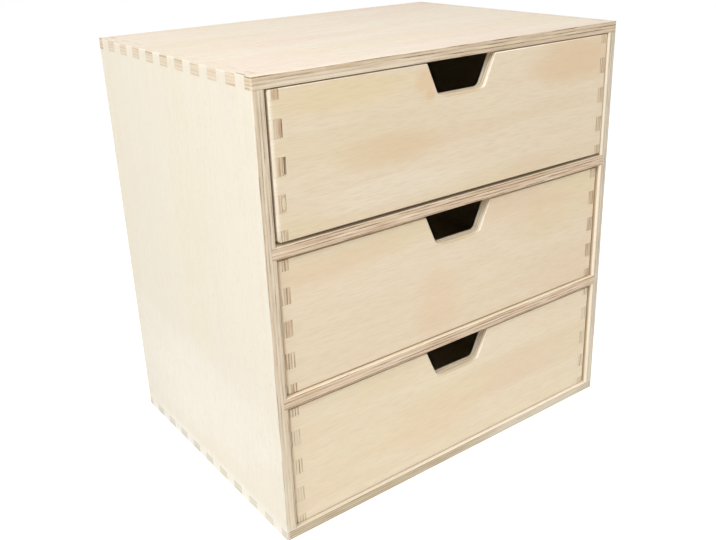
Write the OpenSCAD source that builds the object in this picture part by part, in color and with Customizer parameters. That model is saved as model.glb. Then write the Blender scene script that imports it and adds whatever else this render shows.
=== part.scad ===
// Desktop cabinet with three drawers, made of bare plywood with finger-jointed corners.
// The origin is the middle of the footprint, on the table. +Z is up and +X is to the right.
// The drawers open towards -Y. All sizes are in millimetres.

/* [Cabinet] */
// Width across the two side boards
cabinet_w = 328; // [240:1:480]
// Depth from the front edges to the back edges
cabinet_d = 238; // [180:1:360]
// Height from the table to the top face
cabinet_h = 330; // [240:1:480]
// Thickness of the side, top, bottom and shelf boards
board_t = 8.4; // [6:0.2:12]
// How far each end of a shelf sits in the housing cut into a side board
housing_depth = 3; // [2:0.25:4]
// Gap above a shelf end in its housing
housing_gap = 0.1; // [0.05:0.05:0.4]
// How far the upper and the lower shelf lie below their even places
shelf_drop = [0.3, 1.4];
// Radius that the outer edges of the cabinet are sanded to
cabinet_round = 1.2; // [0.4:0.2:2]

/* [Back panel] */
// Thickness of the back panel, which is also the depth of the rebate it lies in
back_t = 4; // [3:0.5:6]
// Width of the rebate that is cut into each board around the back panel
rebate_w = 4; // [3:0.5:5]
// Gap between the edge of the back panel and its rebate
back_gap = 0.3; // [0.1:0.1:0.8]

/* [Brads] */
// Diameter of a brad's shank
brad_d = 1.2; // [0.8:0.1:1.6]
// Length of a brad from its head to its end
brad_length = 16; // [12:1:20]
// Diameter of a brad's head
brad_head_d = 2.2; // [1.8:0.1:2.8]
// Thickness of a brad's head, which is sunk flush with the panel
brad_head_t = 0.6; // [0.4:0.1:1]
// Gap round a brad in its hole
brad_gap = 0.03; // [0.02:0.01:0.1]
// Greatest distance from one brad to the next along an edge
brad_spacing = 85; // [50:5:140]

/* [Finger joints] */
// Width of one finger
finger_w = 11.75; // [8:0.25:16]
// Gap on each flank of a finger
finger_gap = 0.1; // [0.05:0.05:0.3]

/* [Drawer boards] */
// Thickness of a drawer's front board
front_t = 8; // [6:0.5:12]
// Thickness of a drawer's side and back boards
box_t = 8; // [5:0.5:10]
// Thickness of the thin board that is a drawer's floor
floor_t = 3; // [2.5:0.5:5]
// How deep the groove is that holds the edge of the floor
groove_depth = 3; // [2:0.25:3.5]
// Height of the floor's underside above the lower edge of the drawer
floor_up = 4; // [3:0.5:8]
// Gap round the edge of the floor in its groove
floor_gap = 0.15; // [0.05:0.05:0.4]
// Radius that the upright corners of a drawer are sanded to
drawer_round = 2; // [0.6:0.2:3]
// Radius that the level edges of a drawer are sanded to
drawer_ease = 0.6; // [0.4:0.2:1.6]
// How far the finger joints of the top, middle and bottom drawer lie above the drawer's middle
fingers_up = [1.4, -0.25, 0];
// Slots left open behind the left finger ends of the top front, from the uppermost one down
top_left_overcut = [0, 0.9, 1.9, 0, 0];
// Wood planed off below the front of the top drawer
top_front_trim = 1.9; // [0.2:0.1:2.5]
// Radius of that front's two lower corners, seen from the front
top_front_corner = 2.5; // [1:0.5:5]

/* [Drawer fit] */
// Gap between each side of a drawer and the cabinet, when the drawer is in the middle
side_gap = 1.4; // [0.8:0.1:3]
// How far the drawers lie to the right of the middle
drawers_aside = 0.3; // [-1:0.1:1]
// Gap between the top, middle and bottom drawer and the board above it
top_gap = [0.8, 2.4, 2.8];
// Gap between the top, middle and bottom drawer and the board it runs on
run_gap = [0.7, 0.8, 0.4];
// Gap between a closed drawer and the back panel
rear_gap = 0.6; // [0.3:0.1:3]
// How far the front of a closed drawer lies behind the front edges of the cabinet
front_recess = 2.4; // [0.5:0.1:6]
// How far the top drawer stands out from its closed place
top_drawn_out = 2.4; // [0:0.1:20]

/* [Finger cut-out] */
// Width of the cut-out along its lower edge, measured to the sharp corners
cutout_bottom_w = 41.8; // [30:0.2:48]
// How far the sides of the cut-out lean outwards, in degrees
cutout_lean = 24.9; // [10:0.1:35]
// Depth of the cut-out below the upper edge of the drawer
cutout_depth = 23; // [16:0.2:30]
// Radius of the two lower corners of the cut-out
cutout_r = 5.2; // [2:0.2:7]

/* [Hidden] */
$fn = 32;

// Drawers and their tiers are counted from the top: 0, 1 and 2.
tiers = 3;
// A cutter runs past the wood that it removes by this much.
over = 1;
// The end fingers of a joint are at least this share of a full finger.
least_end_share = 0.4;

inner_w = cabinet_w - 2 * board_t;
inner_h = cabinet_h - 2 * board_t;
even_opening = (inner_h - (tiers - 1) * board_t) / tiers;
front_y = -cabinet_d / 2;
back_y = cabinet_d / 2;
rebate_y = back_y - back_t;

drawer_w = inner_w - 2 * side_gap;
drawer_l = rebate_y - rear_gap - (front_y + front_recess);

ply = "burlywood";
ply_face = "wheat";
ply_edge = "tan";
steel = "silver";

// Height of the board that a tier's drawer runs on
function tier_z(tier) =
    board_t + (tiers - 1 - tier) * (even_opening + board_t)
    - (tier < tiers - 1 ? shelf_drop[tier] : 0);
// Height of the board above a tier's drawer, at its underside
function ceiling_z(tier) = tier == 0 ? cabinet_h - board_t : tier_z(tier - 1) - board_t;
// Height of a tier's drawer
function drawer_h(tier) = ceiling_z(tier) - tier_z(tier) - run_gap[tier] - top_gap[tier];
// Middle of a drawer's finger joints, above its lower edge
function joint_z(tier) = drawer_h(tier) / 2 + fingers_up[tier];
// Front face of a tier's drawer
function drawer_y(tier) = front_y + front_recess - (tier == 0 ? top_drawn_out : 0);
// Number of fingers between the two end fingers of a joint, always odd
function inner_fingers(length) =
    max(1, 2 * floor((length / finger_w - 2 * least_end_share + 1) / 2) - 1);
// Places of the brads along an edge, from its middle
function brad_places(length) =
    let (count = max(2, ceil(length / brad_spacing)))
    [for (i = [0:count - 1]) (i + 0.5) * length / count - length / 2];

// ---- Shapes that several boards share ----

module rounded_rectangle(a, b, r) {
    square([a - 2 * r, b], center = true);
    square([a, b - 2 * r], center = true);
    for (x = [-1, 1], y = [-1, 1])
        translate([x * (a / 2 - r), y * (b / 2 - r)]) circle(r);
}

// A box with all twelve outer edges sanded round, the four upright ones to their own radius
module sanded_box(w, d, h, upright_r, level_r) {
    intersection() {
        linear_extrude(h, center = true) rounded_rectangle(w, d, upright_r);
        rotate([90, 0, 0]) linear_extrude(d, center = true) rounded_rectangle(w, h, level_r);
        rotate([90, 0, 90]) linear_extrude(w, center = true) rounded_rectangle(d, h, level_r);
    }
}

// Every second inner finger of a joint that runs along Y, drawn from x = 0 and z = 0.
// "shy" is what each flank stands back from the full finger.
module fingers(length, across, through, shy) {
    count = inner_fingers(length);
    for (i = [0:2:count - 1])
        translate([0, (i - count / 2) * finger_w + shy, 0])
            cube([across, finger_w - 2 * shy, through]);
}

// What is cut away between those fingers, so that they are left standing
module between_fingers(length, across, through) {
    difference() {
        translate([-over, -length / 2 - 3 * over, -over])
            cube([across + over, length + 6 * over, through + 2 * over]);
        translate([-2 * over, 0, -2 * over])
            fingers(length, across + 3 * over, through + 4 * over, finger_gap);
    }
}

// The same two cutters turned upright, for a drawer corner: the joint runs along Z
module upright() {
    rotate([90, 0, 0]) children();
}

// ---- Cabinet ----

module cabinet_outline() {
    translate([0, 0, cabinet_h / 2])
        sanded_box(cabinet_w, cabinet_d, cabinet_h, cabinet_round, cabinet_round);
}

module back_rebate() {
    translate([-inner_w / 2 - rebate_w, rebate_y, board_t - rebate_w])
        cube([inner_w + 2 * rebate_w, back_t + over, inner_h + 2 * rebate_w]);
}

// Both rows of brads, or their holes, which are wider and deeper by "grow".
// Each brad goes through the edge of the back panel into the floor of the rebate.
module brads(grow) {
    side_x = inner_w / 2 + rebate_w / 2;
    level_z = cabinet_h / 2;
    level_up = inner_h / 2 + rebate_w / 2;
    for (side = [-1, 1], along = brad_places(inner_h))
        translate([side * side_x, back_y, level_z + along]) brad(grow);
    for (side = [-1, 1], along = brad_places(inner_w))
        translate([along, back_y, level_z + side * level_up]) brad(grow);
}

module brad(grow) {
    rotate([90, 0, 0]) {
        cylinder(h = brad_head_t, d = brad_head_d + 2 * grow);
        cylinder(h = brad_length + grow, d = brad_d + 2 * grow);
    }
}

// The holes start outside the wood, so that nothing thin is left over their mouths
module brad_holes() {
    brads(brad_gap);
}

module side_board(side) {
    difference() {
        intersection() {
            cabinet_outline();
            translate([side > 0 ? inner_w / 2 : -cabinet_w / 2, front_y, 0])
                cube([board_t, cabinet_d, cabinet_h]);
        }
        for (low_z = [0, cabinet_h - board_t])
            translate([side * (cabinet_w - board_t) / 2, 0, low_z + board_t / 2])
                side_end_cut(low_z == 0 ? -1 : 1);
        for (tier = [0:tiers - 2])
            translate([side > 0 ? inner_w / 2 - over : -inner_w / 2 - housing_depth,
                       front_y - over, tier_z(tier) - board_t])
                cube([housing_depth + over, cabinet_d + 2 * over, board_t + housing_gap]);
        back_rebate();
        brad_holes();
    }
}

// Cuts the end of a side board into fingers; "up" is 1 at its upper end and -1 at its lower end
module side_end_cut(up) {
    rotate([0, up > 0 ? 90 : -90, 0])
        translate([-board_t / 2, 0, -board_t / 2])
            between_fingers(cabinet_d, board_t, board_t);
}

module level_board(low_z) {
    difference() {
        intersection() {
            cabinet_outline();
            translate([-cabinet_w / 2, front_y, low_z]) cube([cabinet_w, cabinet_d, board_t]);
        }
        for (side = [-1, 1])
            translate([side > 0 ? inner_w / 2 : -cabinet_w / 2 - over, 0, low_z - over])
                fingers(cabinet_d, board_t + over, board_t + 2 * over, 0);
        back_rebate();
        brad_holes();
    }
}

module shelf(tier) {
    translate([-inner_w / 2 - housing_depth, front_y, tier_z(tier) - board_t])
        cube([inner_w + 2 * housing_depth, cabinet_d - back_t, board_t]);
}

module left_side() {
    color(ply_face) side_board(-1);
}

module right_side() {
    color(ply_face) side_board(1);
}

module top_panel() {
    color(ply) level_board(cabinet_h - board_t);
}

module bottom_panel() {
    color(ply) level_board(0);
}

module upper_shelf() {
    color(ply_edge) shelf(0);
}

module lower_shelf() {
    color(ply_edge) shelf(1);
}

module back_panel() {
    color(ply)
        difference() {
            translate([-inner_w / 2 - rebate_w + back_gap, rebate_y, board_t - rebate_w + back_gap])
                cube([inner_w + 2 * (rebate_w - back_gap), back_t, inner_h + 2 * (rebate_w - back_gap)]);
            brad_holes();
        }
}

module back_brads() {
    color(steel) brads(0);
}

// ---- Drawers ----
// Each drawer board is drawn about the middle of its drawer's front face, at the drawer's lower edge,
// and place_drawer() puts it in its tier.

module place_drawer(tier) {
    translate([drawers_aside, drawer_y(tier), tier_z(tier) + run_gap[tier]]) children();
}

module drawer_outline(tier) {
    translate([0, drawer_l / 2, drawer_h(tier) / 2])
        sanded_box(drawer_w, drawer_l, drawer_h(tier), drawer_round, drawer_ease);
}

module floor_board(grow) {
    half_w = drawer_w / 2 - box_t + groove_depth + grow;
    from_y = front_t - groove_depth - grow;
    to_y = drawer_l - box_t + groove_depth + grow;
    translate([-half_w, from_y, floor_up]) cube([2 * half_w, to_y - from_y, floor_t + grow]);
}

// Wood planed off the lower edge of the top drawer, across its front, and off its two lower corners
module planed_edge(tier) {
    kept_h = 4 * top_front_corner;
    if (tier == 0)
        translate([0, front_t, 0])
            upright()
                linear_extrude(front_t + over)
                    difference() {
                        translate([-drawer_w / 2 - over, -over])
                            square([drawer_w + 2 * over, top_front_trim + kept_h / 2 + over]);
                        translate([0, top_front_trim + kept_h / 2])
                            rounded_rectangle(drawer_w, kept_h, top_front_corner);
                    }
}

// Outline of the finger cut-out, drawn from the middle of its lower edge upwards for "depth"
module cutout_outline(depth) {
    low = cutout_bottom_w / 2;
    centre_x = low - cutout_r * (1 - sin(cutout_lean)) / cos(cutout_lean);
    meet = [centre_x + cutout_r * cos(cutout_lean), cutout_r * (1 - sin(cutout_lean))];
    top = [low + depth * tan(cutout_lean), depth];
    polygon([
        [centre_x, 0], meet, top,
        [-top.x, top.y], [-meet.x, meet.y], [-centre_x, 0]
    ]);
    for (x = [-centre_x, centre_x])
        translate([x, cutout_r]) circle(cutout_r);
}

// The end of a front or back board, cut into fingers that enter the drawer's sides.
// "side" is -1 for the left end.
module cross_end_cut(tier, side, thickness) {
    translate([side * drawer_w / 2, 0, joint_z(tier)])
        mirror([side > 0 ? 1 : 0, 0, 0])
            upright()
                translate([0, 0, -thickness])
                    between_fingers(drawer_h(tier), box_t, thickness);
}

// Where that cut ran too far into the front, behind the finger ends of the left side
module overcuts(tier) {
    count = inner_fingers(drawer_h(tier));
    if (tier == 0)
        for (i = [1:2:count - 2])
            let (deep = top_left_overcut[(count - i) / 2])
                translate([-drawer_w / 2 + box_t - over, -over,
                           joint_z(tier) + (i - count / 2) * finger_w + finger_gap])
                    cube([over + deep, front_t + 2 * over, finger_w - 2 * finger_gap]);
}

module drawer_front(tier) {
    place_drawer(tier)
        difference() {
            intersection() {
                drawer_outline(tier);
                translate([-drawer_w / 2, 0, 0]) cube([drawer_w, front_t, drawer_h(tier)]);
            }
            cross_end_cut(tier, -1, front_t);
            cross_end_cut(tier, 1, front_t);
            overcuts(tier);
            floor_board(floor_gap);
            planed_edge(tier);
            translate([0, front_t + over, drawer_h(tier) - cutout_depth])
                upright()
                    linear_extrude(front_t + 2 * over)
                        cutout_outline(cutout_depth + over);
        }
}

module drawer_back(tier) {
    place_drawer(tier)
        difference() {
            intersection() {
                drawer_outline(tier);
                translate([-drawer_w / 2, drawer_l - box_t, 0])
                    cube([drawer_w, box_t, drawer_h(tier)]);
            }
            translate([0, drawer_l - box_t, 0]) {
                cross_end_cut(tier, -1, box_t);
                cross_end_cut(tier, 1, box_t);
            }
            floor_board(floor_gap);
        }
}

module drawer_side(tier, side) {
    place_drawer(tier)
        difference() {
            intersection() {
                drawer_outline(tier);
                translate([side > 0 ? drawer_w / 2 - box_t : -drawer_w / 2, 0, 0])
                    cube([box_t, drawer_l, drawer_h(tier)]);
            }
            side_finger_slots(tier, side, 0, front_t);
            side_finger_slots(tier, side, drawer_l - box_t, box_t);
            floor_board(floor_gap);
            planed_edge(tier);
        }
}

// Slots in a drawer side for the fingers of the front or back board that starts at from_y
module side_finger_slots(tier, side, from_y, thickness) {
    translate([side * drawer_w / 2 - (side > 0 ? box_t + over : over),
               from_y + thickness + (from_y > 0 ? over : 0), joint_z(tier)])
        upright()
            fingers(drawer_h(tier), box_t + 2 * over, thickness + over, 0);
}

module drawer_floor(tier) {
    place_drawer(tier) floor_board(0);
}

module top_drawer_front() {
    color(ply_face) drawer_front(0);
}

module top_drawer_left() {
    color(ply) drawer_side(0, -1);
}

module top_drawer_right() {
    color(ply) drawer_side(0, 1);
}

module top_drawer_back() {
    color(ply_edge) drawer_back(0);
}

module top_drawer_floor() {
    color(ply_face) drawer_floor(0);
}

module middle_drawer_front() {
    color(ply_face) drawer_front(1);
}

module middle_drawer_left() {
    color(ply) drawer_side(1, -1);
}

module middle_drawer_right() {
    color(ply) drawer_side(1, 1);
}

module middle_drawer_back() {
    color(ply_edge) drawer_back(1);
}

module middle_drawer_floor() {
    color(ply_face) drawer_floor(1);
}

module bottom_drawer_front() {
    color(ply_face) drawer_front(2);
}

module bottom_drawer_left() {
    color(ply) drawer_side(2, -1);
}

module bottom_drawer_right() {
    color(ply) drawer_side(2, 1);
}

module bottom_drawer_back() {
    color(ply_edge) drawer_back(2);
}

module bottom_drawer_floor() {
    color(ply_face) drawer_floor(2);
}

left_side();
right_side();
top_panel();
bottom_panel();
upper_shelf();
lower_shelf();
back_panel();
back_brads();
top_drawer_front();
top_drawer_left();
top_drawer_right();
top_drawer_back();
top_drawer_floor();
middle_drawer_front();
middle_drawer_left();
middle_drawer_right();
middle_drawer_back();
middle_drawer_floor();
bottom_drawer_front();
bottom_drawer_left();
bottom_drawer_right();
bottom_drawer_back();
bottom_drawer_floor();
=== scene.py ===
from math import cos, pi, radians, sin

import bmesh
import bpy
from mathutils import Matrix, Vector


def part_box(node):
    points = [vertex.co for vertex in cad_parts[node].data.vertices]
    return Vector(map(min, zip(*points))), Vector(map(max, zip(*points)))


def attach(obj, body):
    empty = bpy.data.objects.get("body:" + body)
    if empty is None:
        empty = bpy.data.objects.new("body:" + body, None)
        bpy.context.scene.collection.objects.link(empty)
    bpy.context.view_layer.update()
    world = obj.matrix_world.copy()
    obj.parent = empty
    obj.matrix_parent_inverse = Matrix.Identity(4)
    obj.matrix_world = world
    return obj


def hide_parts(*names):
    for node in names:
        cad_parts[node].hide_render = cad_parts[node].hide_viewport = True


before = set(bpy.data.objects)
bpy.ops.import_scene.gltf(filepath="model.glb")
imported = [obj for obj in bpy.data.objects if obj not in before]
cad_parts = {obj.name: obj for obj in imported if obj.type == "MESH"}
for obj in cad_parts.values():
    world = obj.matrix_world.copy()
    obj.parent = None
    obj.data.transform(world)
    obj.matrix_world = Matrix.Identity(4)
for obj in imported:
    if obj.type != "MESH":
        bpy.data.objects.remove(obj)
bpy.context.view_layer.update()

MM = 0.001

# ---- Side boards ------------------------------------------------------------------------------
# Two boards of 8.4 mm plywood that stand on the table, grain upright. Their ends are cut into
# fingers that lock with the top and bottom boards, and two housings across each inner face
# hold the shelves. All outer arrises are sanded round, and the wood is bare.


def srgb(code):
    """A colour written as an sRGB hex value, as the linear values that the shaders work with."""
    parts = [int(code[i:i + 2], 16) / 255 for i in (1, 3, 5)]
    return [p / 12.92 if p <= 0.04045 else ((p + 0.055) / 1.055) ** 2.4 for p in parts] + [1]


def add(tree, kind, inputs=None, **settings):
    """Adds one node. An input is a number, a colour, a socket, or a node, which gives its first output."""
    made = tree.nodes.new(kind)
    for name, value in settings.items():
        setattr(made, name, value)
    for key, value in (inputs or {}).items():
        if isinstance(value, bpy.types.Node):
            value = next(s for s in value.outputs if s.enabled)
        if isinstance(value, bpy.types.NodeSocket):
            tree.links.new(value, made.inputs[key])
        else:
            made.inputs[key].default_value = value
    return made


BIRCH = dict(
    face_veneer=0.8,                 # mm, what sanding leaves of the outer ply
    pale="#f0e3cb", deep="#e0cba9",  # sapwood between the growth rings, and on them
    blush="#ecd5bb", straw="#ebdfbc",
    long_ply="#e9dabf",              # a ply cut along its grain, seen on an edge
    end_ply="#cdb391",               # a ply cut across its grain
    glue="#7a5c40",                  # the glue line between two plies
    glue_seen=(0.15, 0.9),           # how much of it shows, where it shows least and most
    arris=None,                      # rounded arris painted paler: clean wood and painted highlight
)


def plywood(name, grain, through, low, thick, plies, seed, stains_and_painted_light=(), ring=(30, 190), **colours):
    """Bare rotary-cut birch plywood as a solid: what shows depends on how deep in the board a point
    lies and on how its ply was cut. grain and through are the axes X, Y or Z that the face grain and
    the thickness run along, low is where the board starts on the second, in mm, and ring is how wide
    and long a figure of the growth rings is. A mark is ragged and goes into the wood, as real
    discolouring or as painted light and shade: its middle and half sizes in mm, its colour, its
    strength and how soft its rim is."""
    wood = dict(BIRCH, **colours)
    across = next(a for a in "XYZ" if a not in (grain, through))
    ply = (thick - 2 * wood["face_veneer"]) / (plies - 2)
    material = bpy.data.materials.new(name)
    material.use_nodes = True
    tree = material.node_tree
    tree.nodes.clear()
    place = add(tree, "ShaderNodeTexCoord")
    in_mm = add(tree, "ShaderNodeVectorMath",
                {0: place.outputs["Object"], 1: (1000,) * 3}, operation="MULTIPLY")
    at = add(tree, "ShaderNodeSeparateXYZ", {0: in_mm}).outputs
    facing = add(tree, "ShaderNodeVectorMath", {0: place.outputs["Normal"]}, operation="ABSOLUTE")
    facing = add(tree, "ShaderNodeSeparateXYZ", {0: facing}).outputs
    lie = add(tree, "ShaderNodeCombineXYZ", {0: at[grain], 1: at[across], 2: at[through]})

    # How deep in the board: plies are counted from the nearer face, which is ply 0. Every second
    # ply below it lies crosswise.
    wavy = add(tree, "ShaderNodeTexNoise", {"Vector": lie, "Scale": 1 / 40, "Detail": 1.0})
    depth = add(tree, "ShaderNodeMath", {0: at[through], 1: low}, operation="SUBTRACT")
    other = add(tree, "ShaderNodeMath", {0: thick, 1: depth}, operation="SUBTRACT")
    depth = add(tree, "ShaderNodeMath", {0: depth, 1: other}, operation="MINIMUM")
    depth = add(tree, "ShaderNodeMath", {0: wavy, 1: 0.5, 2: depth}, operation="MULTIPLY_ADD")
    count = add(tree, "ShaderNodeMapRange",
                {0: depth, 1: wood["face_veneer"] + 0.25, 2: wood["face_veneer"] + 0.25 + ply},
                clamp=False)
    inside = add(tree, "ShaderNodeMath", {0: count, 1: 0.0}, operation="GREATER_THAN")
    pair = add(tree, "ShaderNodeMath", {0: count, 1: 2.0}, operation="FLOORED_MODULO")
    crosswise = add(tree, "ShaderNodeMath", {0: pair, 1: 1.0}, operation="LESS_THAN")
    crosswise = add(tree, "ShaderNodeMath", {0: crosswise, 1: inside}, operation="MULTIPLY")
    to_glue = add(tree, "ShaderNodeMath", {0: count, 1: 0.5}, operation="PINGPONG")
    glue_line = add(tree, "ShaderNodeMapRange", {0: to_glue, 1: 0.08, 2: 0.24, 3: 1.0, 4: 0.0},
                    interpolation_type="SMOOTHSTEP")
    glued = add(tree, "ShaderNodeMath", {0: count, 1: -0.4}, operation="GREATER_THAN")
    on_edge = add(tree, "ShaderNodeMapRange", {0: facing[through], 1: 0.45, 2: 0.9, 3: 1.0, 4: 0.0},
                  interpolation_type="SMOOTHSTEP")
    glued = add(tree, "ShaderNodeMath", {0: glued, 1: on_edge}, operation="MULTIPLY")
    glue_line = add(tree, "ShaderNodeMath", {0: glue_line, 1: glued}, operation="MULTIPLY")

    # How the ply under the point was cut: 1 is straight across its grain.
    end_grain = add(tree, "ShaderNodeMix", {0: crosswise, 2: facing[grain], 3: facing[across]})
    end_grain = add(tree, "ShaderNodeMapRange", {0: end_grain, 1: 0.35, 2: 0.9},
                    interpolation_type="SMOOTHSTEP")

    # Noises. bed is where the peeling knife ran in the growth rings and clouds is the tint of the
    # veneer. Fibres, streaks, flecks and blots run along the grain of their own ply.
    swapped = add(tree, "ShaderNodeCombineXYZ", {0: at[across], 1: at[grain], 2: at[through]})
    own_grain = add(tree, "ShaderNodeMix", {0: crosswise, 4: lie, 5: swapped}, data_type="VECTOR")
    noise = {}
    for what, way, scale, detail in (
            ("bed", lie, (1 / ring[1], 1 / ring[0], 0.02), 2.0),
            ("clouds", lie, (1 / 110, 1 / 45, 0.01), 2.0),
            ("fibres", own_grain, (1 / 12, 1 / 1.2, 1 / 1.2), 3.0),
            ("streaks", own_grain, (1 / 170, 1 / 6, 1 / 6), 3.0),
            ("flecks", own_grain, (1 / 5, 1 / 0.8, 1 / 0.8), 2.0),
            ("blots", lie, (1 / 30, 1 / 30, 1 / 1.3), 3.0),
            ("glue", lie, (1 / 24, 1 / 24, 1 / 1.2), 1.0)):
        spot = add(tree, "ShaderNodeVectorMath",
                   {0: way, 1: scale, 2: (seed * 7.31 + 4 * len(noise), seed * 3.17, len(noise))},
                   operation="MULTIPLY_ADD")
        noise[what] = add(tree, "ShaderNodeTexNoise",
                          {"Vector": spot, "Scale": 1.0, "Detail": detail, "Roughness": 0.55})
    share = {}
    for what, source, low_in, high_in, low_out, high_out in (
            ("clouds", noise["clouds"], 0.3, 0.7, 0.0, 1.0),
            ("bed", noise["bed"], 0.3, 0.62, 0.2, 0.95),
            ("streaks", noise["streaks"], 0.42, 0.8, 0.0, 0.17),
            ("fibres", noise["fibres"], 0.38, 0.72, 0.0, 0.34),
            ("flecks", noise["flecks"], 0.56, 0.74, 0.0, 0.34),
            ("blots", noise["blots"], 0.36, 0.66, 0.0, 0.9),
            ("glue", noise["glue"], 0.4, 0.65, *wood["glue_seen"])):
        share[what] = add(tree, "ShaderNodeMapRange",
                          {0: source, 1: low_in, 2: high_in, 3: low_out, 4: high_out},
                          interpolation_type="SMOOTHSTEP")

    # The face: tint, then growth rings, which the flat cut spreads into wide loops.
    loops = add(tree, "ShaderNodeMath", {0: noise["bed"], 1: 9.0}, operation="MULTIPLY")
    loops = add(tree, "ShaderNodeMath", {0: loops, 1: 0.5}, operation="PINGPONG")
    loops = add(tree, "ShaderNodeMapRange", {0: loops, 1: 0.1, 2: 0.5, 3: 0.0, 4: 0.09},
                interpolation_type="SMOOTHSTEP")
    colour = srgb(wood["straw"])
    for amount, over in ((share["clouds"], "blush"), (share["bed"], "pale"), (loops, "deep"),
                         (share["streaks"], "deep")):
        colour = add(tree, "ShaderNodeMix", {0: amount, 6: colour, 7: srgb(wood[over])},
                     data_type="RGBA")
    # The edges: blotched plies, darker where they are cut across, glue lines that come and go, and
    # rounded arrises painted paler, partly clean wood and partly painted highlight. Real
    # discolouring and painted light and shade lie on everything, and the finest figure on them.
    inner = add(tree, "ShaderNodeMix",
                {0: share["blots"], 6: srgb(wood["long_ply"]), 7: srgb(wood["end_ply"])},
                data_type="RGBA")
    colour = add(tree, "ShaderNodeMix", {0: on_edge, 6: colour, 7: inner}, data_type="RGBA")
    glue_line = add(tree, "ShaderNodeMath", {0: glue_line, 1: share["glue"]}, operation="MULTIPLY")
    end_grain = add(tree, "ShaderNodeMath", {0: end_grain, 1: 0.28}, operation="MULTIPLY")
    for amount, over in ((end_grain, "end_ply"), (glue_line, "glue")):
        colour = add(tree, "ShaderNodeMix", {0: amount, 6: colour, 7: srgb(wood[over])},
                     data_type="RGBA")
    # Rounded arrises painted paler: partly clean sanded wood, partly painted highlight.
    if wood["arris"]:
        turned = add(tree, "ShaderNodeMath", {0: facing[through], 1: 0.5}, operation="PINGPONG")
        turned = add(tree, "ShaderNodeMapRange", {0: turned, 1: 0.04, 2: 0.2, 4: 0.9})
        colour = add(tree, "ShaderNodeMix", {0: turned, 6: colour, 7: srgb(wood["arris"])},
                     data_type="RGBA")
    # Marks: real discolouring, and painted light and shade, as the callers give them.
    for middle, half, mark_colour, strength, soft in stains_and_painted_light:
        off = add(tree, "ShaderNodeVectorMath", {0: in_mm, 1: middle}, operation="SUBTRACT")
        off = add(tree, "ShaderNodeVectorMath", {0: off, 1: half}, operation="DIVIDE")
        ragged = add(tree, "ShaderNodeTexNoise", {"Vector": off, "Scale": 1.6, "Detail": 3.0})
        ragged = add(tree, "ShaderNodeVectorMath",
                     {0: ragged.outputs["Color"], 1: (0.5, 0.5, 0.5)}, operation="SUBTRACT")
        off = add(tree, "ShaderNodeVectorMath", {0: ragged, 1: (soft,) * 3, 2: off},
                  operation="MULTIPLY_ADD")
        reach = add(tree, "ShaderNodeVectorMath", {0: off}, operation="LENGTH").outputs["Value"]
        reach = add(tree, "ShaderNodeMapRange",
                    {0: reach, 1: 1 - soft, 2: 1 + soft / 4, 3: strength, 4: 0.0},
                    interpolation_type="SMOOTHSTEP")
        colour = add(tree, "ShaderNodeMix", {0: reach, 6: colour, 7: srgb(mark_colour)},
                     data_type="RGBA")
    for amount, over in ((share["fibres"], "deep"), (share["flecks"], "end_ply")):
        colour = add(tree, "ShaderNodeMix", {0: amount, 6: colour, 7: srgb(wood[over])},
                     data_type="RGBA")

    # Raised fibres, sunk flecks and glue lines, and a dry surface that is duller on the edges.
    height = add(tree, "ShaderNodeMath", {0: noise["fibres"], 1: share["flecks"]},
                 operation="SUBTRACT")
    height = add(tree, "ShaderNodeMath", {0: height, 1: glue_line}, operation="SUBTRACT")
    relief = add(tree, "ShaderNodeBump", {"Strength": 0.2, "Distance": 0.0002, "Height": height})
    dull = add(tree, "ShaderNodeMath", {0: on_edge, 1: 0.2, 2: noise["fibres"]},
               operation="MULTIPLY_ADD")
    dull = add(tree, "ShaderNodeMapRange", {0: dull, 1: 0.3, 2: 0.9, 3: 0.6, 4: 0.85})
    shader = add(tree, "ShaderNodeBsdfPrincipled",
                 {"Base Color": colour, "Roughness": dull, "Normal": relief,
                  "Specular IOR Level": 0.1, "IOR": 1.5})
    add(tree, "ShaderNodeOutputMaterial", {0: shader})
    return material


def board(node, body, wood, rounds=()):
    """The board that a CAD node is, from a merged copy of its mesh: flats become whole faces. Each
    round is a radius in mm and a test of an edge's middle: the arrises that pass are rounded to it."""
    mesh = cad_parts[node].data.copy()
    shape = bmesh.new()
    shape.from_mesh(mesh)
    bmesh.ops.remove_doubles(shape, verts=shape.verts, dist=2e-6)
    bmesh.ops.dissolve_limit(shape, angle_limit=radians(0.5), verts=shape.verts,
                             edges=shape.edges)
    for radius, passes in rounds:
        arrises = [edge for edge in shape.edges if edge.calc_face_angle(0) > radians(60)
                   and passes((edge.verts[0].co + edge.verts[1].co) / 2 / MM)]
        bmesh.ops.bevel(shape, geom=arrises, offset=radius * MM, offset_type="OFFSET",
                        segments=4, profile=0.5, affect="EDGES")
    shape.normal_update()
    for face in shape.faces:
        face.smooth = max(abs(part) for part in face.normal) < 0.9999
    shape.to_mesh(mesh)
    shape.free()
    mesh.materials.clear()
    mesh.materials.append(wood)
    piece = bpy.data.objects.new(node + "_board", mesh)
    bpy.context.scene.collection.objects.link(piece)
    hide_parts(node)
    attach(piece, body)


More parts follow.
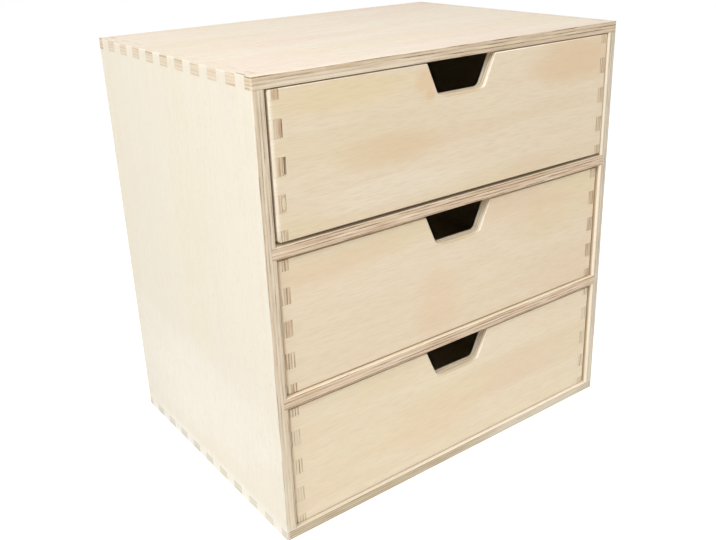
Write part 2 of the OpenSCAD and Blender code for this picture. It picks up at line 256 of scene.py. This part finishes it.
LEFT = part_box("left_side")[0].x / MM
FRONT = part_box("left_side")[0].y / MM
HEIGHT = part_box("left_side")[1].z / MM
NEAR = 0.1  # mm, how close to a face an arris must lie to count as the face's own
PLIES = 5
SIDE_PLY = {"left_side": ("#e9dac3", "#cfba9b"), "right_side": ("#e0d3be", "#cbbea8")}
for seed, side in enumerate(SIDE_PLY):
    low, high = (corner.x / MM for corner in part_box(side))
    # Paler: the upper end grain, sanded; the front edge lower down; and the lower part of the left
    # face, painted light thrown up by the table.
    stains_and_painted_light = [(((low + high) / 2, 0, HEIGHT), (5, 140, 4), "#f0e4d2", 0.9, 0.3)]
    if side == "left_side":
        inner, rounding = high, 0.5
        stains_and_painted_light += [((low, 20, 60), (5, 190, 60), "#f3eee2", 0.7, 0.9),
                   ((low + 4, FRONT, 20), (5, 5, 90), "#eee2ca", 0.5, 0.9),
                   ((low, 0, 0), (5, 300, 16), "#f3f1e9", 0.7, 0.6)]
    else:
        # The inner front arris is painted pale as a highlight, and behind it on the inner face a
        # brown line of painted shade lies in the gap beside the drawers.
        inner, rounding = low, 1.3
        stains_and_painted_light += [((high - 4, FRONT, 20), (5, 5, 90), "#e9e0cc", 0.6, 0.9),
                   ((inner, FRONT + 4.6, HEIGHT / 2), (1, 3.4, 600), "#c3ab88", 0.85, 0.4),
                   ((inner, FRONT, HEIGHT / 2), (2.0, 1.9, 600), "#f6ead2", 0.95, 0.3)]
    wood = plywood(f"bare birch plywood, {side.replace('_', ' ')}", "Z", "X", low, high - low,
                   PLIES, seed + 11, stains_and_painted_light, (60, 500), pale="#ebe4d4", deep="#e4d8c2",
                   blush="#eae0d1", straw="#eae2cc", long_ply=SIDE_PLY[side][0],
                   end_ply=SIDE_PLY[side][1], glue_seen=(0.05, 0.7))
    board(side, "cabinet", wood,
          ((rounding, lambda at: abs(at.x - inner) < NEAR and at.y < FRONT + NEAR),))

# ---- Top and bottom boards --------------------------------------------------------------------
# The same plywood laid flat, grain from side to side, with fingers that go through to the outer
# face of each side board, where their end grain shows as darker squares.
EDGE_MARKS = {  # paler and darker marks on the left end grain and along the front edge
    "top_panel": (((LEFT, 0, 326), (3, 130, 9), "#e6d8c2", 0.7, 0.3),
                  ((-100, FRONT, 323), (100, 3, 2.8), "#efe2ca", 0.6, 0.5),
                  ((LEFT, 2, 328.5), (3, 60, 0.6), "#86664a", 0.45, 0.4)),
    "bottom_panel": (((-110, FRONT, 4), (120, 5, 9), "#b3a283", 0.42, 0.8),
                     ((95, FRONT, 4), (85, 5, 9), "#fdf8ea", 0.33, 0.8),
                     ((LEFT, 0, 4), (3, 300, 9), "#eeece4", 0.5, 0.3)),
}
for seed, level in enumerate(("top_panel", "bottom_panel")):
    low, high = (corner.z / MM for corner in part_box(level))
    inner = high if level == "bottom_panel" else low
    wood = plywood(f"bare birch plywood, {level.replace('_', ' ')}", "X", "Z", low, high - low,
                   PLIES, seed + 21, EDGE_MARKS[level], pale="#f3e8d7", deep="#e2cfb1", blush="#f1ddcd",
                   straw="#efe4c9", long_ply=("#e6d6bd", "#e9dfc8")[seed],
                   end_ply=("#cab394", "#cabda2")[seed],
                   arris=(None, "#f6ebd6")[seed], glue_seen=((0.15, 0.9), (0.5, 1.0))[seed],
                   face_veneer=(0.8, 1.4)[seed])
    board(level, "cabinet", wood,
          ((0.7, lambda at: abs(at.z - inner) < NEAR and at.y < FRONT + NEAR),))

# ---- Shelves ----------------------------------------------------------------------------------
# Two boards that the drawers run on, glued into the housings of the side boards, front edges
# flush with the cabinet's. Their plies are a little redder.
MIDDLE = 10  # mm, only the long front arrises have their middle this near to the cabinet's
for seed, shelf in enumerate(("upper_shelf", "lower_shelf")):
    low, high = (corner.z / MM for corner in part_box(shelf))
    wood = plywood(f"bare birch plywood, {shelf.replace('_', ' ')}", "X", "Z", low, high - low,
                   PLIES, seed + 31, long_ply=("#eddac2", "#eedcc5")[seed],
                   end_ply=("#c9aa8a", "#d0b495")[seed],
                   arris=(None, "#f6ead4")[seed])
    board(shelf, "cabinet", wood,
          (((0.3, 0.45)[seed], lambda at: abs(at.x) < MIDDLE and at.y < FRONT + NEAR),))

# ---- Back panel -------------------------------------------------------------------------------
# A sheet of 4 mm plywood in a rebate all round the back, grain upright.
BACK, THIN_PLIES = 4, 3
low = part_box("back_panel")[0].y / MM
wood = plywood("bare thin birch plywood, back panel", "Z", "Y", low, BACK, THIN_PLIES, 41,
               ring=(55, 300))
board("back_panel", "cabinet", wood)

# ---- Brads ------------------------------------------------------------------------------------
# Sixteen bright wire brads driven through the edge of the back panel, heads flush.
BRAD_HEAD, BRAD_HEAD_T, BRAD_SHANK, BRAD_LENGTH = 2.2, 0.6, 1.2, 16


def wire_steel():
    """Drawn steel wire with a struck head: a grey that is brighter where the hammer met it."""
    material = bpy.data.materials.new("bright steel wire")
    material.use_nodes = True
    tree = material.node_tree
    tree.nodes.clear()
    place = add(tree, "ShaderNodeTexCoord")
    dents = add(tree, "ShaderNodeTexNoise",
                {"Vector": place.outputs["Object"], "Scale": 1800.0, "Detail": 2.0})
    tone = add(tree, "ShaderNodeMix",
               {0: dents, 6: srgb("#8f8d88"), 7: srgb("#c4c2bc")}, data_type="RGBA")
    dull = add(tree, "ShaderNodeMapRange", {0: dents, 3: 0.28, 4: 0.5})
    relief = add(tree, "ShaderNodeBump", {"Strength": 0.3, "Distance": 0.0001, "Height": dents})
    shader = add(tree, "ShaderNodeBsdfPrincipled",
                 {"Base Color": tone, "Metallic": 1.0, "Roughness": dull, "Normal": relief})
    add(tree, "ShaderNodeOutputMaterial", {0: shader})
    return material


def brad_mesh():
    """One brad, turned round the Y axis: a domed head at y = 0, a shank and a chisel-cut end."""
    head, shank = BRAD_HEAD / 2, BRAD_SHANK / 2
    profile = [(0, 0), (head * 0.6, 0.02), (head * 0.9, 0.1), (head, 0.2), (head, 0.5),
               (shank, BRAD_HEAD_T), (shank, BRAD_LENGTH - 1.2), (shank * 0.45, BRAD_LENGTH)]
    sides = 16
    shape = bmesh.new()
    rings = []
    for radius, deep in profile[1:]:
        rings.append([shape.verts.new((radius * cos(2 * pi * i / sides) * MM, -deep * MM,
                                       radius * sin(2 * pi * i / sides) * MM))
                      for i in range(sides)])
    tip = shape.verts.new((0, 0, 0))
    for i in range(sides):
        shape.faces.new((tip, rings[0][i], rings[0][i - 1]))
        for outer, inner in zip(rings, rings[1:]):
            shape.faces.new((outer[i - 1], outer[i], inner[i], inner[i - 1]))
    shape.faces.new(rings[-1])
    bmesh.ops.recalc_face_normals(shape, faces=shape.faces)
    mesh = bpy.data.meshes.new("brad")
    shape.to_mesh(mesh)
    shape.free()
    mesh.shade_smooth()
    mesh.set_sharp_from_angle(angle=radians(40))
    return mesh


def brad_rows():
    """A tree that sets brads in four rows along the edge of the back panel."""
    tree = bpy.data.node_groups.new("rows of brads", "GeometryNodeTree")
    tree.interface.new_socket("Geometry", in_out="OUTPUT", socket_type="NodeSocketGeometry")
    sockets = {}
    for name, kind in (("Brad", "Object"), ("Finish", "Material"), ("Middle", "Vector"),
                       ("Row width", "Float"), ("Row height", "Float"), ("Count", "Int")):
        sockets[name] = tree.interface.new_socket(name, in_out="INPUT",
                                                  socket_type="NodeSocket" + kind)
    given = add(tree, "NodeGroupInput").outputs
    half_w = add(tree, "ShaderNodeMath", {0: given["Row width"], 1: 0.5}, operation="MULTIPLY")
    half_h = add(tree, "ShaderNodeMath", {0: given["Row height"], 1: 0.5}, operation="MULTIPLY")
    rows = add(tree, "GeometryNodeJoinGeometry")
    for upright, sign in ((True, -1), (True, 1), (False, -1), (False, 1)):
        length = given["Row height"] if upright else given["Row width"]
        step = add(tree, "ShaderNodeMath", {0: length, 1: given["Count"]}, operation="DIVIDE")
        first = add(tree, "ShaderNodeMath", {0: step, 1: 0.5, 2: half_h if upright else half_w},
                    operation="MULTIPLY_ADD")
        first = add(tree, "ShaderNodeMath", {0: first, 1: length}, operation="SUBTRACT")
        aside = add(tree, "ShaderNodeMath", {0: half_w if upright else half_h, 1: float(sign)},
                    operation="MULTIPLY")
        start = add(tree, "ShaderNodeCombineXYZ",
                    {0: aside if upright else first, 2: first if upright else aside})
        start = add(tree, "ShaderNodeVectorMath", {0: start, 1: given["Middle"]}, operation="ADD")
        offset = add(tree, "ShaderNodeCombineXYZ", {2 if upright else 0: step})
        line = add(tree, "GeometryNodeMeshLine",
                   {"Count": given["Count"], "Start Location": start, "Offset": offset})
        tree.links.new(line.outputs[0], rows.inputs[0])
    brad = add(tree, "GeometryNodeObjectInfo", {"Object": given["Brad"]})
    turned = add(tree, "FunctionNodeRandomValue", {"Min": 0.0, "Max": 6.28, "Seed": 3},
                 data_type="FLOAT")
    turn = add(tree, "ShaderNodeCombineXYZ", {1: turned.outputs[1]})
    placed = add(tree, "GeometryNodeInstanceOnPoints",
                 {"Points": rows, "Instance": brad.outputs["Geometry"], "Rotation": turn})
    solid = add(tree, "GeometryNodeRealizeInstances", {0: placed})
    finished = add(tree, "GeometryNodeSetMaterial", {0: solid, "Material": given["Finish"]})
    add(tree, "NodeGroupOutput", {0: finished})
    return tree, sockets


def baked(holder, name):
    """A holder's evaluated mesh as a plain piece. The holder is taken away."""
    bpy.context.view_layer.update()
    seen = holder.evaluated_get(bpy.context.evaluated_depsgraph_get())
    mesh = bpy.data.meshes.new_from_object(seen)
    bpy.data.objects.remove(holder)
    piece = bpy.data.objects.new(name, mesh)
    bpy.context.scene.collection.objects.link(piece)
    return piece


one_brad = bpy.data.objects.new("one_brad", brad_mesh())
bpy.context.scene.collection.objects.link(one_brad)
holder = bpy.data.objects.new("brad_holder", bpy.data.meshes.new("brad_holder"))
bpy.context.scene.collection.objects.link(holder)
tree, sockets = brad_rows()
rows = holder.modifiers.new("rows", "NODES")
rows.node_group = tree
low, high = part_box("back_brads")
row_w = (high.x - low.x) - BRAD_HEAD * MM
row_h = (high.z - low.z) - BRAD_HEAD * MM
for name, value in (("Brad", one_brad), ("Finish", wire_steel()),
                    ("Middle", (0.0, high.y, (low.z + high.z) / 2)),
                    ("Row width", row_w), ("Row height", row_h), ("Count", 4)):
    rows[sockets[name].identifier] = value
brads = baked(holder, "back_brads_wire")
bpy.data.objects.remove(one_brad)
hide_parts("back_brads")
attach(brads, "cabinet")

# ---- Drawer boxes -----------------------------------------------------------------------------
# Each drawer has two sides and a back of 8 mm plywood, finger-jointed, and a floor of 3 mm
# plywood that slides in a groove round the inside.
FLOOR = 3
END_PLY = {"top": "#cfb393", "middle": "#c6a888", "bottom": "#e2d2b7"}
TIERS = ("top", "middle", "bottom")
MARKS = {  # the pale corner, a line of painted shade, then the finger ends from the top down
    "top_drawer_left": (
        # The pale corner: sanded wood with a painted highlight on its rounded arris.
        ((-154.5, -120, 272), (4.2, 8, 400), "#f4e8d3", 0.8, 0.5),
        # Painted shade in the gap beside the drawer.
        ((-153.9, -117, 272), (0.6, 1.7, 400), "#6b5138", 0.7, 0.5),
        ((-148.5, -120, 318), (3, 4, 4), "#b3926e", 0.5, 0.4),
        ((-146.8, -120, 296.9), (1.6, 4, 7), "#a9805f", 0.6, 0.4),
        ((-148.4, -120, 273.4), (2.2, 4, 7), "#c4a680", 0.5, 0.4),
        ((-147.7, -120, 249.8), (2.0, 4, 5.6), "#9d8261", 0.75, 0.15),
        ((-147.7, -120, 249.8), (1.5, 4, 4.9), "#e0d0b4", 1.0, 0.15),
        ((-146.4, -120, 228.5), (1.8, 4, 4), "#ab9c84", 0.55, 0.5),
    ),
}
for tier, drawer in enumerate(TIERS):
    body = drawer + "_drawer"
    for part, through, grain in (("left", "X", "Y"), ("right", "X", "Y"), ("back", "Y", "X")):
        node = f"{body}_{part}"
        low, high = (corner["XYZ".index(through)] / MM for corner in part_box(node))
        wood = plywood(f"bare birch plywood, {drawer} drawer {part}", grain, through, low,
                       high - low, PLIES, 51 + tier * 3 + len(part), MARKS.get(node, ()),
                       end_ply=END_PLY[drawer])
        board(node, body, wood)
    node = f"{body}_floor"
    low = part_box(node)[0].z / MM
    wood = plywood(f"bare thin birch plywood, {drawer} drawer floor", "X", "Z", low, FLOOR,
                   THIN_PLIES, 71 + tier, ring=(50, 260))
    board(node, body, wood)

# ---- Drawer fronts ----------------------------------------------------------------------------
# The front of each drawer is 8 mm plywood, grain from side to side, with a finger cut-out routed
# into its upper edge and rounded over. The fingers of the drawer's sides show at both ends.
STAINS = {  # middle and half sizes along X and Z, colour, strength
    "top": (
        (-62, 269, 54, 14, "#dfc39a", 0.55),
        (-92, 311, 70, 13, "#e6d3a6", 0.5),
        (-33, 310, 11, 10, "#e3bd8f", 0.5),
        (-28, 300, 6, 5, "#e0b684", 0.45),
        (118, 306, 60, 22, "#dfbf98", 0.6),
        (-60, 241, 90, 13, "#efe5d0", 0.5),
    ),
    "middle": (
        (-20, 141, 28, 36, "#e9cbab", 0.45),
        (92, 186, 42, 22, "#e4cba6", 0.3),
        (-95, 200, 75, 10, "#e6d1ac", 0.35),
    ),
    "bottom": (
        (-22, 42, 56, 26, "#ecd3b2", 0.4),
        (48, 55, 26, 18, "#eed4b8", 0.45),
        (115, 92, 48, 13, "#ead4b4", 0.3),
        (-65, 92, 60, 12, "#e8d4ae", 0.35),
    ),
}
CUT_OUT_HALF = 33  # mm, more than the half width of a cut-out with its rounding
CUT_OUT_REACH = 40  # mm below a front's upper edge, more than the depth of a cut-out
CUT_OUT_RIM = 23.3  # mm below a front's upper edge, the lower rim of a cut-out
UPPER_ARRIS = 0.65  # mm, what the upper edge keeps sharp
RIM_ROUND, BACK_RIM_ROUND = 1.3, 0.3  # mm
END_BAND = {  # the left end of a front: colour, half width in mm, strength
    # On the top drawer a pale band: sanded wood with a painted highlight on its rounded arris.
    "top": ("#f4e8d3", 4.2, 0.8),
    "middle": ("#dcc4a6", 2.4, 0.9),
    "bottom": ("#dcc4a6", 2.4, 0.9),
}
# How dark the painted shade along the lower edge of each front is.
SHADE_BELOW = {"top": 0.85, "middle": 0.5, "bottom": 0.5}
VENEER = {
    "top": dict(pale="#e9dac0", blush="#e4c9ad", straw="#e3d4ae", deep="#d8c09c"),
    "middle": dict(pale="#ecdcc2", blush="#e8ceb2", straw="#e7d8b3", deep="#dcc4a0"),
    "bottom": dict(pale="#f0e2c8", blush="#ebd3b7", straw="#eaddb9", deep="#dfc9a6"),
}
for tier, drawer in enumerate(TIERS):
    body = drawer + "_drawer"
    node = body + "_front"
    low, high = (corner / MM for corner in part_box(node))
    stains_and_painted_light = [((x, low.y, z), (half_x, 9, half_z), mark_colour, strength, 0.7)
              for x, z, half_x, half_z, mark_colour, strength in STAINS[drawer]]
    band, half, strength = END_BAND[drawer]
    stains_and_painted_light.append(((low.x - 0.5, low.y, high.z), (half, 8, 400), band, strength, 0.5))
    stains_and_painted_light.append(((high.x + 0.5, low.y, high.z), (2.4, 8, 400), "#dcc6a6", 0.9, 0.5))
    # Painted shade in the gap left of the top drawer.
    if drawer == "top":
        stains_and_painted_light.append(((low.x, low.y + 2, high.z), (0.6, 1.7, 400), "#6b5138", 0.7, 0.5))
    # Painted shade along the front's lower edge, in the gap over the board below, darkest under
    # the top drawer. Painted shade on the rounded lower rim of the cut-out, and painted light on
    # its back rim.
    stains_and_painted_light.append(((0, low.y + 2, low.z), (170, 6, 0.5), "#6f5238", SHADE_BELOW[drawer], 0.3))
    stains_and_painted_light.append(((0, low.y, high.z - CUT_OUT_RIM), (24, 3.5, 1.8), "#cdb997", 0.8, 0.4))
    stains_and_painted_light.append(((0, high.y, high.z - 10), (40, 2.6, 16), "#fffaf0", 0.9, 0.4))
    wood = plywood(f"bare birch plywood, {drawer} drawer front", "X", "Y", low.y, high.y - low.y,
                   PLIES, 81 + tier, stains_and_painted_light, (34, 300), **VENEER[drawer],
                   long_ply="#f0e4cc", end_ply="#e3d3b8", glue="#a88c69", arris="#fdf6e8")
    cut_out = [(radius, lambda at, y=y: abs(at.x) < CUT_OUT_HALF and abs(at.y - y) < NEAR
                and high.z - CUT_OUT_REACH < at.z < high.z - UPPER_ARRIS)
               for radius, y in ((RIM_ROUND, low.y), (BACK_RIM_ROUND, high.y))]
    board(node, body, wood, cut_out)

# ---- Table, light and camera ------------------------------------------------------------------
# A plain pale table top that runs out of sight, one broad soft lamp up on the left in front, two
# weak low ones at the sides, and an even white room.


def pale_floor():
    """Matt white paint on the table top. The camera sees it a little brighter than it is lit."""
    material = bpy.data.materials.new("matt white table")
    material.use_nodes = True
    tree = material.node_tree
    tree.nodes.clear()
    place = add(tree, "ShaderNodeTexCoord")
    specks = add(tree, "ShaderNodeTexNoise", {"Vector": place.outputs["Object"], "Scale": 40.0})
    tone = add(tree, "ShaderNodeMix", {0: specks, 6: srgb("#eeeeec"), 7: srgb("#f3f3f1")},
               data_type="RGBA")
    paint = add(tree, "ShaderNodeBsdfDiffuse", {"Color": tone})
    glow = add(tree, "ShaderNodeEmission", {"Color": (1, 1, 1, 1), "Strength": 0.6})
    seen = add(tree, "ShaderNodeLightPath").outputs
    direct = add(tree, "ShaderNodeMath", {0: seen["Is Camera Ray"], 1: seen["Is Glossy Ray"]},
                 operation="MAXIMUM")
    direct = add(tree, "ShaderNodeMath", {0: direct, 1: seen["Is Transmission Ray"]},
                 operation="MAXIMUM")
    brighter = add(tree, "ShaderNodeAddShader", {0: paint, 1: glow})
    mixed = add(tree, "ShaderNodeMixShader", {0: direct, 1: paint, 2: brighter})
    add(tree, "ShaderNodeOutputMaterial", {0: mixed})
    return material


table = bpy.data.meshes.new("table_top")
shape = bmesh.new()
bmesh.ops.create_grid(shape, x_segments=8, y_segments=8, size=6.0)
shape.to_mesh(table)
shape.free()
table.materials.append(pale_floor())
table_top = bpy.data.objects.new("table_top", table)
table_top.location.z = -0.0002
bpy.context.scene.collection.objects.link(table_top)

room = bpy.data.worlds.new("white room")
bpy.context.scene.world = room
room.use_nodes = True
tree = room.node_tree
tree.nodes.clear()
fill = add(tree, "ShaderNodeBackground", {"Color": srgb("#fbfbff"), "Strength": 0.45})
white = add(tree, "ShaderNodeBackground", {"Color": (1, 1, 1, 1), "Strength": 1.0})
seen = add(tree, "ShaderNodeLightPath").outputs
direct = add(tree, "ShaderNodeMath", {0: seen["Is Camera Ray"], 1: seen["Is Glossy Ray"]},
             operation="MAXIMUM")
direct = add(tree, "ShaderNodeMath", {0: direct, 1: seen["Is Transmission Ray"]},
             operation="MAXIMUM")
mixed = add(tree, "ShaderNodeMixShader", {0: direct, 1: fill, 2: white})
add(tree, "ShaderNodeOutputWorld", {0: mixed})


def soft_lamp(name, azimuth, height, distance, size, power):
    """A square soft box that looks at the middle of the cabinet. azimuth is how far it stands
    to the left of straight ahead, and height is its angle above the table."""
    light = bpy.data.lights.new(name, "AREA")
    light.size = size
    light.energy = power
    lamp = bpy.data.objects.new(name, light)
    a, h = radians(azimuth), radians(height)
    way = Vector((-sin(a) * cos(h), -cos(a) * cos(h), sin(h)))
    lamp.location = Vector((0, 0, 0.16)) + way * distance
    lamp.rotation_euler = way.to_track_quat("Z", "Y").to_euler()
    bpy.context.scene.collection.objects.link(lamp)


soft_lamp("key_lamp", 56, 50, 1.9, 1.1, 26)
soft_lamp("right_lamp", -42, 14, 2.0, 1.0, 5)
soft_lamp("left_lamp", 82, 8, 2.0, 0.8, 3)

# The camera stands 0.74 m off, 37 degrees to the left and 21 degrees up, held a little askew.
AZIMUTH, ELEVATION, ROLL = 36.553, 21.190, -1.798
DISTANCE, AIM = 0.736604, Vector((0.008089, 0, 0.151376))
a, h = radians(AZIMUTH), radians(ELEVATION)
away = Vector((-sin(a) * cos(h), -cos(a) * cos(h), sin(h)))
right = (-away).cross(Vector((0, 0, 1))).normalized()
up = right.cross(-away)
turn = radians(ROLL)
right, up = right * cos(turn) + up * sin(turn), up * cos(turn) - right * sin(turn)
lens = bpy.data.cameras.new("camera")
lens.sensor_width = 36
lens.lens = 42.9639
lens.shift_x, lens.shift_y = -0.021398, -0.042485
lens.clip_start = 0.01
camera = bpy.data.objects.new("camera", lens)
spot = AIM + away * DISTANCE
camera.matrix_world = Matrix.Translation(spot) @ Matrix((right, up, away)).transposed().to_4x4()
bpy.context.scene.collection.objects.link(camera)
bpy.context.scene.camera = camera
bpy.context.scene.view_settings.view_transform = "Standard"
